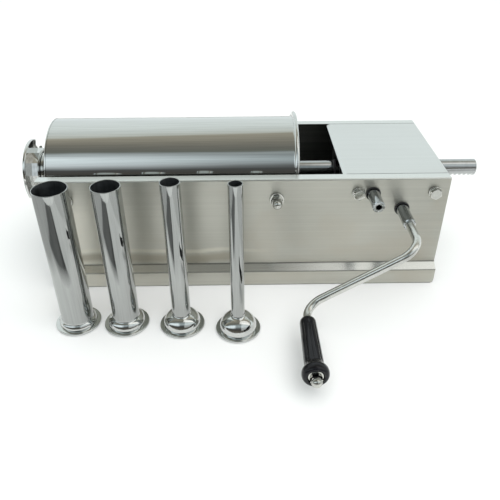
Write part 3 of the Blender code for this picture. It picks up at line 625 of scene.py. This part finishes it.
def make_acorn(name, x, sign, z):
    """A domed nut with a washer."""
    place = on_panel(x, sign, z)
    washer_r, washer_top, bore = 0.0092, 0.0022, 0.0045
    washer = fillet([(washer_r, washer_top), (washer_r, 0), (bore, 0), (bore, washer_top)],
                    (0.0009, 0.0002, 0, 0), 4)
    dome_r, top, neck = 0.0060, 0.0196, 0.0088
    dome = [(0, top)] + [(dome_r * sin(a), top - dome_r + dome_r * cos(a))
                         for a in map(radians, range(6, 91, 6))]
    dome += [(dome_r * 0.985, neck + 0.0012), (dome_r * 0.96, neck + 0.0004), (dome_r * 0.96, neck - 0.0004),
             (0, neck - 0.0004)]
    parts = [lathe("washer", washer, place, 64),
             hexagon("hex", 0.0076, 0.00222, neck, 0.0064, place, radians(8)),
             lathe("dome", dome, place, 64, False)]
    nut = joined(name + "_steel", parts)
    piece(nut, "housing", FASTENER, name, angle=28)


# ------------------------------------------------------------------ drive shafts and bushes
def make_stub(name, xz, length):
    """A drive shaft with six grooves in its fluted end and a hexagon socket."""
    end, r, chamfer = HALF_W + length, 0.0074, 0.0009
    shoulder, inner_r, tail = 0.0870, 0.005, 0.0280
    profile = [(0, end), (r - chamfer, end), (r, end - chamfer), (r, shoulder), (inner_r, shoulder),
               (inner_r, tail), (0, tail)]
    place = Matrix.Translation((xz[0], 0, xz[1])) @ TO_Y
    shaft = lathe(name + "_steel", profile, place, 96, False)
    socket_r, socket_depth = 0.0040, 0.028
    bottom = place @ Matrix.Translation((0, 0, end - socket_depth))
    cutters = [prism("socket", circle(socket_r, 6, pi / 6), socket_depth + 0.001, bottom)]
    groove_at, groove_r = 0.0075, 0.0013
    for i in range(6):
        a = pi / 2 + i * pi / 3
        spot = Matrix.Translation((groove_at * cos(a), groove_at * sin(a), HALF_W + 0.004))
        cutters.append(prism(f"flute_{i}", circle(groove_r, 20), length, place @ spot))
    combine(shaft, cutters)
    bevelled(shaft, 0.00022, 2, 40)
    piece(shaft, name, STUB, name)


def make_bush(name, xz):
    """The black flanged bush round a drive shaft."""
    out, flange, bore, front, back = 0.0080, 0.0092, 0.0077, 0.002, -0.0068
    profile = fillet([(flange, front), (flange, GAP), (out, GAP), (out, back), (bore, back), (bore, front)],
                     (0.0006, 0.0002, 0, 0, 0, 0.0004), 4)
    place = Matrix.Translation((xz[0], -HALF_W, xz[1])) @ TO_Y
    bush = lathe(name + "_ring", profile, place, 72)
    piece(bush, "housing", BLACK, name)


# ------------------------------------------------------------------ rack, piston and cylinder
def make_rack():
    """The round rack: chamfered ends and trapezoid teeth cut across its underside."""
    low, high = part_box("rack")
    r, chamfer = 0.0110, 0.0008
    profile = [(0, -low.x), (r - chamfer, -low.x), (r, -low.x - chamfer), (r, -high.x + chamfer),
               (r - chamfer, -high.x), (0, -high.x)]
    rack = lathe("rack_bar", profile, ON_AXIS, 96, False)
    pitch, pressure = pi * 0.002, radians(25)
    first, last = -0.196, 0.3155
    main_x, tip_z, below = 0.156088, AXIS_Z - 0.0092, AXIS_Z - 0.022
    pitch_z, root_z = tip_z + 0.0016, tip_z + 0.0038

    def half(z):
        """Half the width of the gap between two teeth at a height."""
        return pitch / 4 + 0.000125 - (z - pitch_z) * tan(pressure)

    outline = []
    for i in range(-56, 26):
        x = main_x + i * pitch
        if first < x < last:
            outline += [(x - half(tip_z), tip_z), (x - half(root_z), root_z), (x + half(root_z), root_z),
                        (x + half(tip_z), tip_z)]
    outline += [(outline[-1][0], below), (outline[0][0], below)]
    teeth = prism("teeth", outline, 0.030, Matrix.Translation((0, 0.015, 0)) @ TO_Y)
    combine(rack, [teeth])
    bevelled(rack, 0.00018, 1, 40)
    piece(rack, "rack", RACK, "rack")


def make_piston():
    """The piston's face disc, its seal and its back plate, each just behind the one before."""
    r, rod_r, front = 0.0690, 0.0114, 0.247
    top = front
    face = fillet([(0, top), (r, top), (r, top - 0.008), (0, top - 0.008)], (0, 0.0018, 0.0004, 0), 5, False)
    piece(lathe("piston_face", face, ON_AXIS, 160, False), "rack", PISTON, "piston_disc")
    top = front - 0.0083
    lip, groove = r + 0.0006, 0.0014
    seal = [(lip, top), (lip - groove, top - 0.0022), (lip - groove, top - 0.0060), (lip, top - 0.0082),
            (rod_r, top - 0.0082), (rod_r, top)]
    seal = fillet(seal, (0.0004, 0.0010, 0.0010, 0.0004, 0, 0), 4)
    piece(lathe("piston_seal_ring", seal, ON_AXIS, 160), "rack", SILICONE, "piston_seal")
    top -= 0.0085
    back_r, thickness = r - 0.0005, 0.004
    back = fillet([(back_r, top), (back_r, top - thickness), (rod_r, top - thickness), (rod_r, top)],
                  (0.0004, 0.0012, 0, 0), 4)
    back = lathe("piston_back_disc", back, ON_AXIS, 160)
    piece(back, "rack", PISTON, "piston_back_plate")


def make_cylinder():
    """The rolled tube: a bead at the mouth, and a rounded closed end with its neck."""
    left, right = -0.2494, 0.0703
    outer, bore, bead_r, bead_c = 0.071, 0.070, 0.0030, 0.07422
    h = bead_r - right
    bead = [(bead_c + bead_r * cos(a), h + bead_r * sin(a)) for a in map(radians, range(150, -91, -12))]
    profile = [(outer, -left - 0.0024), (outer, h + 0.0042), (outer + 0.0003, h + 0.0030)] + bead
    profile += [(bore + 0.0012, -right), (bore + 0.0003, -right + 0.0003), (bore, -right + 0.0012),
                (bore, -left - 0.0024)]
    tube = lathe("cylinder_tube", profile, ON_AXIS, 224)
    piece(tube, "housing", BARREL, "cylinder", angle=40)

    neck_r, neck_bore, neck_end = 0.027, 0.022, 0.278
    plate = 0.0020
    cap = [(outer, -left), (outer, -left - plate), (neck_bore, -left - plate), (neck_bore, -left)]
    cap = fillet(cap, (0.0016, 0, 0, 0), 6)
    pressed = [(0.0385, -left), (0.0400, -left - 0.0006), (0.0545, -left - 0.0006), (0.0560, -left)]
    disc = lathe("cylinder_closed_end", cap + pressed, ON_AXIS, 160)
    piece(disc, "housing", NUT, "cylinder_end_cap", angle=40)

    pitch, depth, turns = 0.0040, 0.0012, 5
    thread = []
    for i in range(turns * 4 + 1):
        at = neck_end - 0.0010 - i * pitch / 4
        if at > -left + 0.010:
            thread.append((neck_r - depth * (0, 0.5, 1, 0.5)[i % 4], at))
    neck = [(neck_r, neck_end)] + thread
    neck += [(neck_r, -left + GAP), (neck_bore, -left + GAP), (neck_bore, neck_end)]
    neck = lathe("outlet_neck_ring", neck, ON_AXIS, 96)
    piece(neck, "housing", NUT, "outlet_neck", angle=50)


def make_ring_nut():
    """The ring nut: a twelve-sided body and a wing ring with two gaps."""
    front, back = 0.287, 0.2705
    wing, shelf, step = front - 0.004, front - 0.005, back + 0.0002
    body_r, wing_r, sleeve, thread_r, bore = 0.032, 0.0435, 0.0300, 0.0275, 0.0225
    profile = [(wing_r, front), (wing_r, wing), (sleeve, wing), (sleeve, step), (thread_r, step),
               (thread_r, shelf), (bore, shelf), (bore, front)]
    profile = fillet(profile, (0.0013, 0.0013, 0.0006, 0, 0.0003, 0, 0, 0.0008), 4)
    nut = lathe("ring_nut_steel", profile, ON_AXIS, 144)
    facets = [(body_r, wing + 0.001), (body_r, back + 0.001), (body_r - 0.001, back), (sleeve - 0.001, back),
              (sleeve - 0.001, wing + 0.001)]
    combine(nut, [lathe("facets", facets, ON_AXIS @ Matrix.Rotation(pi / 12, 4, "Z"), 12)], "UNION")
    gaps = []
    gap_at, half_wide, half_deep = 0.046, 0.012, 0.0125
    outline = fillet([(-half_wide, -half_deep), (half_wide, -half_deep), (half_wide, half_deep),
                      (-half_wide, half_deep)], (0.003,) * 4, 5)
    for i, angle in enumerate((radians(135), radians(315))):
        y, z = -cos(angle) * gap_at, sin(angle) * gap_at
        place = Matrix.Translation((-front - 0.009, y, AXIS_Z + z)) @ Matrix.Rotation(atan2(-y, z), 4, "X")
        gaps.append(prism(f"gap_{i}", outline, 0.0139, place @ along_x(0)))
    combine(nut, gaps)
    bevelled(nut, 0.0005, 2, 25)
    piece(nut, "ring_nut", NUT, "ring_nut")


def make_gasket():
    """The flat ring that the nut presses on the neck."""
    out, bore, front, back = 0.0268, 0.0226, 0.2810, 0.2783
    ring = fillet([(out, front), (out, back), (bore, back), (bore, front)], (0.0006,) * 4, 4)
    ring = lathe("outlet_gasket_ring", ring, ON_AXIS, 96)
    piece(ring, "outlet_seal", SILICONE, "outlet_gasket")


# ------------------------------------------------------------------ crank
def swept(name, path, radius, sides=32, ends=0.0006):
    """A round bar along a path, with chamfered ends."""
    points = [Vector(p) for p in path]
    tangents = []
    for i in range(len(points)):
        ahead, behind = points[min(i + 1, len(points) - 1)], points[max(i - 1, 0)]
        tangents.append((ahead - behind).normalized())
    side = tangents[0].orthogonal().normalized()
    angles = [2 * pi * k / sides for k in range(sides)]
    rings = []
    for i, (p, t) in enumerate(zip(points, tangents)):
        side = (side - t * side.dot(t)).normalized()
        up = t.cross(side)
        r = radius - (ends if i in (0, len(points) - 1) else 0)
        rings.append([p + (side * cos(a) + up * sin(a)) * r for a in angles])
    verts = [tuple(v) for ring in rings for v in ring]
    faces = [tuple(reversed(range(sides))), tuple(range(len(verts) - sides, len(verts)))]
    for i in range(len(rings) - 1):
        for k in range(sides):
            m = (k + 1) % sides
            faces.append((i * sides + k, i * sides + m, (i + 1) * sides + m, (i + 1) * sides + k))
    return made_of(name, verts, faces)


GRIP_X, GRIP_Z, GRIP_START, GRIP_STOP, ARM_Y = 0.0715, 0.0300, 0.2145, 0.3030, -0.1885
ON_GRIP = Matrix.Translation((GRIP_X, 0, GRIP_Z)) @ TO_Y


def make_crank():
    """The bent rod with its plug and thread, and the grip, washer and domed nut on it."""
    x, z = FAST_XZ
    low, top = GRIP_START, GRIP_STOP
    mouth = -HALF_W - 0.040
    corners = [(x, mouth - GAP, z), (x, ARM_Y, z), (GRIP_X, ARM_Y, GRIP_Z), (GRIP_X, -top + 0.0045, GRIP_Z)]
    path = fillet([Vector(c) for c in corners], (0, 0.024, 0.021, 0), 20, False)
    start, stop = Vector(path[0]), Vector(path[-1])
    chamfer = Vector((0, 0.0006, 0))
    path = [start, start - chamfer] + path[1:-1] + [stop + chamfer, stop]
    bar = swept("bar", path, 0.005)
    plug = prism("plug", circle(0.0036, 6, pi / 6), 0.0225,
                 Matrix.Translation((x, mouth + 0.0210, z)) @ TO_Y)
    thread = prism("thread", circle(0.0039, 24), 0.0140,
                   Matrix.Translation((GRIP_X, -top + 0.0055, GRIP_Z)) @ TO_Y)
    rod = joined("crank_rod_bar", [bar, plug, thread])
    piece(rod, "crank", ROD, "crank_rod", angle=35)

    core, flutes, flute_depth, run_out = 0.0085, 8, 0.0007, 0.006
    ring_low = top - 0.0165

    def swell(r, h, a):
        """Shallow flutes in the grip's slope, fading out at both ends."""
        if r <= core:
            return r
        rise = min(1.0, max(0.0, (h - low - run_out) / run_out))
        fall = min(1.0, max(0.0, (ring_low - h) / run_out))
        return r - flute_depth * rise * fall * (0.5 + 0.5 * cos(flutes * a)) ** 7

    ring = [(0.0108 + 0.0040 * cos(t), top - 0.0065 + 0.0065 * sin(t))
            for t in map(radians, range(90, -61, -10))]
    body = [(0.0115, top - 0.0150), (0.0110, top - 0.0158)]
    low_r, top_r, steps = 0.0094, 0.0110, 26
    for i in range(steps + 1):
        h = ring_low - (ring_low - low - 0.0040) * i / steps
        body.append((low_r + (top_r - low_r) * (h - low) / (top - low), h))
    tail = [(0.0093, low + 0.0028), (0.0090, low + 0.0014), (0.0083, low + 0.0004), (0.0075, low)]
    seat, bore = 0.0092, 0.0054
    profile = [(seat, top - 0.0035), (seat, top - 0.0006), (seat + 0.0004, top)] + ring + body + tail
    profile += [(bore, low), (bore, top - 0.0035)]
    grip = lathe("crank_grip_body", profile, ON_GRIP, 160, swell=swell)
    piece(grip, "grip", GRIP, "crank_grip", angle=50)

    out, bore, face, back = 0.0082, 0.0042, top - 0.0018, top - 0.0032
    washer = fillet([(out, face), (out, back), (bore, back), (bore, face)], (0.0003, 0.0003, 0, 0), 3)
    washer = lathe("grip_washer_ring", washer, ON_GRIP, 64)
    piece(washer, "crank", FASTENER, "grip_washer")
    dome_r, dome_z = 0.0060, top + 0.0052
    dome = [(0, dome_z + dome_r)] + [(dome_r * sin(t), dome_z + dome_r * cos(t))
                                     for t in map(radians, range(8, 91, 7))]
    dome += [(0.0058, top + 0.0050), (0.0056, top + 0.0044), (0.0056, top + 0.0040), (0, top + 0.0040)]
    parts = [lathe("dome", dome, ON_GRIP, 64, False),
             hexagon("hex", 0.0067, top - 0.0010, top + 0.0046, 0.0058, ON_GRIP, radians(12))]
    piece(joined("grip_nut_steel", parts), "crank", FASTENER, "grip_nut", angle=28)


# ------------------------------------------------------------------ filling tubes
def make_tube(name, x, y, radius, height):
    """A drawn tube with a rounded rim, a dome and a rolled flange."""
    wall, shoulder, flange, bends = 0.001, 0.0225, 0.027, 14
    dome = min(0.020, 0.006 + (0.020 - radius) * 1.1)

    def skin(t, inset=0.0):
        """The dome's curve, from 0 at the tube to 1 at the foot."""
        a = t * pi / 2
        return (radius + (shoulder - radius) * sin(a) - inset * 1.15,
                dome + 0.003 * (1 - t) - (dome - 0.003) * (1 - cos(a)) - inset * 0.7)

    def rim(*degrees):
        """Points on the round rim at the mouth."""
        half = wall / 2
        return [(radius - half + half * cos(t), height - half + half * sin(t)) for t in map(radians, degrees)]

    lip = 0.0012
    outer = rim(90, 60, 30, 0)
    outer += [(radius, dome + 0.010), (radius, dome + 0.0062), (radius + 0.0001, dome + 0.0042)]
    outer += [skin(i / bends) for i in range(1, bends + 1)]
    outer += [(shoulder + 0.0008, 0.0029)]
    outer += [(flange - lip + lip * cos(t), 0.0020 + lip * sin(t)) for t in map(radians, (90, 60, 30, 0, -30))]
    outer += [(flange, 0.0008), (flange - 0.0008, 0)]
    inner = [(shoulder - wall, 0), (shoulder - 1.5 * wall, 0.0016)]
    inner += [(max(radius - wall, skin(i / bends, wall)[0]), skin(i / bends, wall)[1])
              for i in range(bends - 1, 0, -1)]
    inner += [(radius - wall, dome + 0.004)]
    profile = outer + inner + rim(180, 150, 120)
    tube = lathe(name + "_steel", profile, Matrix.Translation((x, y, 0)), 112)
    piece(tube, name, TUBE, name, angle=55)
    # the inside and the underside get the dark copy, which paints their shade
    tube.data.materials.append(TUBE_INSIDE_SHADED)
    tube.data.materials.append(TUBE_FOOT_LIT)
    for face in tube.data.polygons:
        out = Vector((face.center.x - x, face.center.y - y, 0)).normalized()
        inside = face.center.z < height - 0.0006 and face.normal.dot(out) < -0.2
        if inside or face.normal.z < -0.5:
            face.material_index = 1
        # painted light: the dome and the flange get the lighter copy
        elif face.center.z < dome + 0.0042:
            face.material_index = 2


# ------------------------------------------------------------------ everything that is seen
for panel_name, panel_sign in (("front_panel", -1), ("rear_panel", 1)):
    make_panel(panel_name, panel_sign)
make_cover()
for number, (bolt_x, bolt_z) in enumerate(BOLTS, 1):
    make_bolt(f"front_bolt_{number}", bolt_x, -1, bolt_z)
    make_bolt(f"rear_bolt_{number}", bolt_x, 1, bolt_z)
for cradle, (stud_x, stud_z) in zip(("left_cradle", "right_cradle"), STUDS):
    make_acorn(cradle + "_front_nut", stud_x, -1, stud_z)
    make_acorn(cradle + "_rear_nut", stud_x, 1, stud_z)
for stub, stub_xz, stub_length in (("slow_shaft", SLOW_XZ, 0.0345), ("fast_shaft", FAST_XZ, 0.040)):
    make_stub(stub, stub_xz, stub_length)
    make_bush(stub + "_bush", stub_xz)
make_rack()
make_piston()
make_cylinder()
make_ring_nut()
make_gasket()
make_crank()
for tube_name, sizes in TUBES.items():
    make_tube(tube_name, *sizes)

# ------------------------------------------------------------------ materials of the CAD pieces that stay
# the housing's inner parts get the darker copy of the sheet steel, which paints their shade
LOOK = {"gear_steel": GEARS, "polished_steel": PISTON, "housing_steel": INNER_SHADED, "fastener_steel": FASTENER,
        "black_plastic": BLACK, "silicone": SILICONE, "bronze": BRONZE}
for part in frame["record"]["subparts"]:
    node = frame["nodes"][part["node"]]
    look = LOOK[part["material_slot"]]
    if "plate" in part["node"] and part["material_slot"] == "gear_steel":
        look = PLATES
    node.data.materials.clear()
    node.data.materials.append(look)


# ------------------------------------------------------------------ camera, floor and light
def make_camera():
    """The camera that was fitted to the photo."""
    camera = bpy.data.objects.new("camera", bpy.data.cameras.new("camera"))
    SCENE.collection.objects.link(camera)
    camera.data.sensor_width = 36
    camera.data.lens = 40.48992
    camera.data.clip_start = 0.01
    pitch, yaw, roll = 0.59411, 0.01257, -0.00489
    ahead = Vector((sin(yaw) * cos(pitch), cos(yaw) * cos(pitch), -sin(pitch)))
    right = Vector((cos(yaw), -sin(yaw), 0))
    up = right.cross(ahead)
    right, up = cos(roll) * right + sin(roll) * up, -sin(roll) * right + cos(roll) * up
    turn = Matrix((right, up, -ahead)).transposed().to_4x4()
    camera.matrix_world = Matrix.Translation((-0.00056, -0.70447, 0.46053)) @ turn
    SCENE.camera = camera


BARREL_REFLECTS = 0.64


def linear(colour):
    """The light that makes the barrel look like an 8-bit colour."""
    return tuple(((c / 255 + 0.055) / 1.055) ** 2.4 / BARREL_REFLECTS for c in colour)


def make_world():
    """A soft studio: brightness set by the angle from in front, over the top, to behind."""
    world = bpy.data.worlds.new("studio")
    SCENE.world = world
    world.use_nodes = True
    n = Nodes(world.node_tree)
    split = n.add("ShaderNodeSeparateXYZ")
    n.link(n.add("ShaderNodeTexCoord").outputs["Generated"], split.inputs[0])
    x = split.outputs["X"]
    front = n.math("MULTIPLY", split.outputs["Y"], -1)
    height = n.span(n.math("ARCTAN2", split.outputs["Z"], front), 0.0, 1.0, 0.0, pi)

    # the barrel's bands, by degrees; the edge near 85 degrees leans to the left
    stops = [(0, (95, 92, 85)), (19, (64, 63, 60)), (28, (70, 72, 72)), (34, (96, 100, 101)),
             (41, (136, 145, 148)), (48, (150, 161, 164)), (56, (126, 134, 136)), (61, (138, 146, 147)),
             (65, (97, 100, 94)), (74, (104, 104, 98)), (88, (120, 118, 109)), (106, (143, 140, 128)),
             (109, (150, 148, 136)), (112, (178, 182, 176)), (124, (192, 199, 197)),
             (138, (204, 212, 211)), (180, (206, 214, 215))]
    lean = n.math("MULTIPLY", n.span(x, 0.0, 14 / 180, -0.08, -0.36),
                  n.span(height, 0.0, 1.0, 76 / 180, 94 / 180))
    total = n.ramp(n.math("ADD", lean, height), [(angle / 180, linear(colour)) for angle, colour in stops])

    # soft patches: x where each starts and is full, its degrees, and its light
    soft = 9
    for start, stop, low, high, colour in ((0.06, 0.16, 62, 99, (0.95, 0.95, 0.94)),
                                           (0.24, 0.32, 12, 80, (0.45, 0.47, 0.47)),
                                           (-0.12, -0.41, 26, 62, (0.70, 0.77, 0.81))):
        across = n.span(x, 0.0, 1.0, start, stop, interpolation_type="SMOOTHSTEP")
        window = n.ramp(height, [(low / 180, (0, 0, 0)), ((low + soft) / 180, (1, 1, 1)),
                                 ((high - soft) / 180, (1, 1, 1)), (high / 180, (0, 0, 0))])
        total = n.mix(n.math("MULTIPLY", across, window), total, colour, "ADD")
    n.link(total, n.tree.nodes["Background"].inputs["Color"])


def make_fill(place, aim, size, power):
    """A wide light in front that reflections don't see."""
    light = bpy.data.lights.new("front_fill", "AREA")
    light.shape = "RECTANGLE"
    light.size, light.size_y = size
    light.energy = power
    obj = bpy.data.objects.new("front_fill", light)
    obj.location = place
    obj.rotation_mode = "QUATERNION"
    obj.rotation_quaternion = (Vector(aim) - Vector(place)).to_track_quat("-Z", "Y")
    obj.visible_glossy = False
    SCENE.collection.objects.link(obj)


def make_sun(towards, strength, spread):
    """Even light from a wide part of the ceiling."""
    light = bpy.data.lights.new("ceiling", "SUN")
    light.energy = strength
    light.angle = radians(spread)
    obj = bpy.data.objects.new("ceiling", light)
    obj.rotation_mode = "QUATERNION"
    obj.rotation_quaternion = Vector(towards).to_track_quat("Z", "Y")
    obj.visible_glossy = False
    SCENE.collection.objects.link(obj)


def level(name, half_x, near, far, z):
    """A level rectangle from -half_x to half_x and from near to far."""
    corners = [(-half_x, near, z), (half_x, near, z), (half_x, far, z), (-half_x, far, z)]
    return made_of(name, corners, [(0, 1, 2, 3)])


def make_stage():
    """A pale floor, a soft dark card that only reflections see, and a backdrop for the camera alone."""
    floor = level("floor", 6, -6, 6, 0)
    n = Surface("floor_look")
    tone = n.ramp(n.noise((2, 2, 2), 3.0), [(0.3, (0.89, 0.89, 0.89)), (0.7, (0.91, 0.91, 0.91))])
    n.link(tone, n.shader.inputs["Base Color"])
    n.shader.inputs["Roughness"].default_value = 0.7
    n.shader.inputs["Specular IOR Level"].default_value = 0.1
    floor.data.materials.append(n.material)

    card = level("dark_card", 0.9, -0.9, 0.1, 0.0004)
    n = Surface("dark_card_look")
    n.shader.inputs["Base Color"].default_value = (0.03, 0.03, 0.03, 1)
    split = n.add("ShaderNodeSeparateXYZ")
    n.link(n.place, split.inputs[0])
    x, y = split.outputs["X"], split.outputs["Y"]
    greys = [(0.0, 0.45), (0.20, 0.5), (0.30, 0.90), (0.63, 0.85), (0.75, 1.0), (0.78, 0.18)]
    left = n.ramp(n.span(x, 0.0, 1.0, -0.6, 0.0), [(at, (grey,) * 3) for at, grey in greys])
    left = n.math("MULTIPLY", left, n.span(y, 0.0, 1.0, -0.30, -0.38))
    left = n.math("MAXIMUM", left, n.span(x, 0.0, 0.45, -0.34, -0.42))
    right = n.math("MULTIPLY", n.span(x, 0.0, 0.34, 0.17, 0.27), n.span(y, 0.0, 1.0, -0.13, -0.17))
    n.link(n.math("MAXIMUM", left, right), n.shader.inputs["Alpha"])
    card.data.materials.append(n.material)
    card.visible_camera = False
    card.visible_shadow = False
    card.visible_diffuse = False

    sides, reach, top, sunk = 48, 5.9, 3.0, 0.02
    rows = [(reach * cos(t), top * sin(t) - sunk) for t in map(radians, range(0, 85, 12))]
    angles = [2 * pi * i / sides for i in range(sides)]
    verts = [(q * cos(a), q * sin(a), h) for q, h in rows for a in angles]
    faces = []
    for low in range(0, len(verts) - sides, sides):
        for i in range(sides):
            j = (i + 1) % sides
            faces.append((low + i, low + j, low + sides + j, low + sides + i))
    faces.append(tuple(range(len(verts) - sides, len(verts))))
    dome = made_of("backdrop", verts, faces)
    n = Surface("backdrop_look")
    n.shader.inputs["Base Color"].default_value = (0, 0, 0, 1)
    n.shader.inputs["Specular IOR Level"].default_value = 0
    soft = n.noise((0.3, 0.3, 0.3), 2.0)
    n.link(n.ramp(soft, [(0.3, (0.97, 0.97, 0.97)), (0.7, (1, 1, 1))]), n.shader.inputs["Emission Color"])
    n.shader.inputs["Emission Strength"].default_value = 1.06
    dome.data.materials.append(n.material)
    dome.visible_glossy = False
    dome.visible_diffuse = False
    dome.visible_shadow = False
    dome.visible_transmission = False


make_camera()
make_world()
make_stage()
make_sun((0.10, -0.35, 1), 1.5, 70)
make_fill((0.4, -1.6, 1.3), (0, 0, 0.05), (1.6, 1.0), 8)
SCENE.view_settings.view_transform = "Standard"
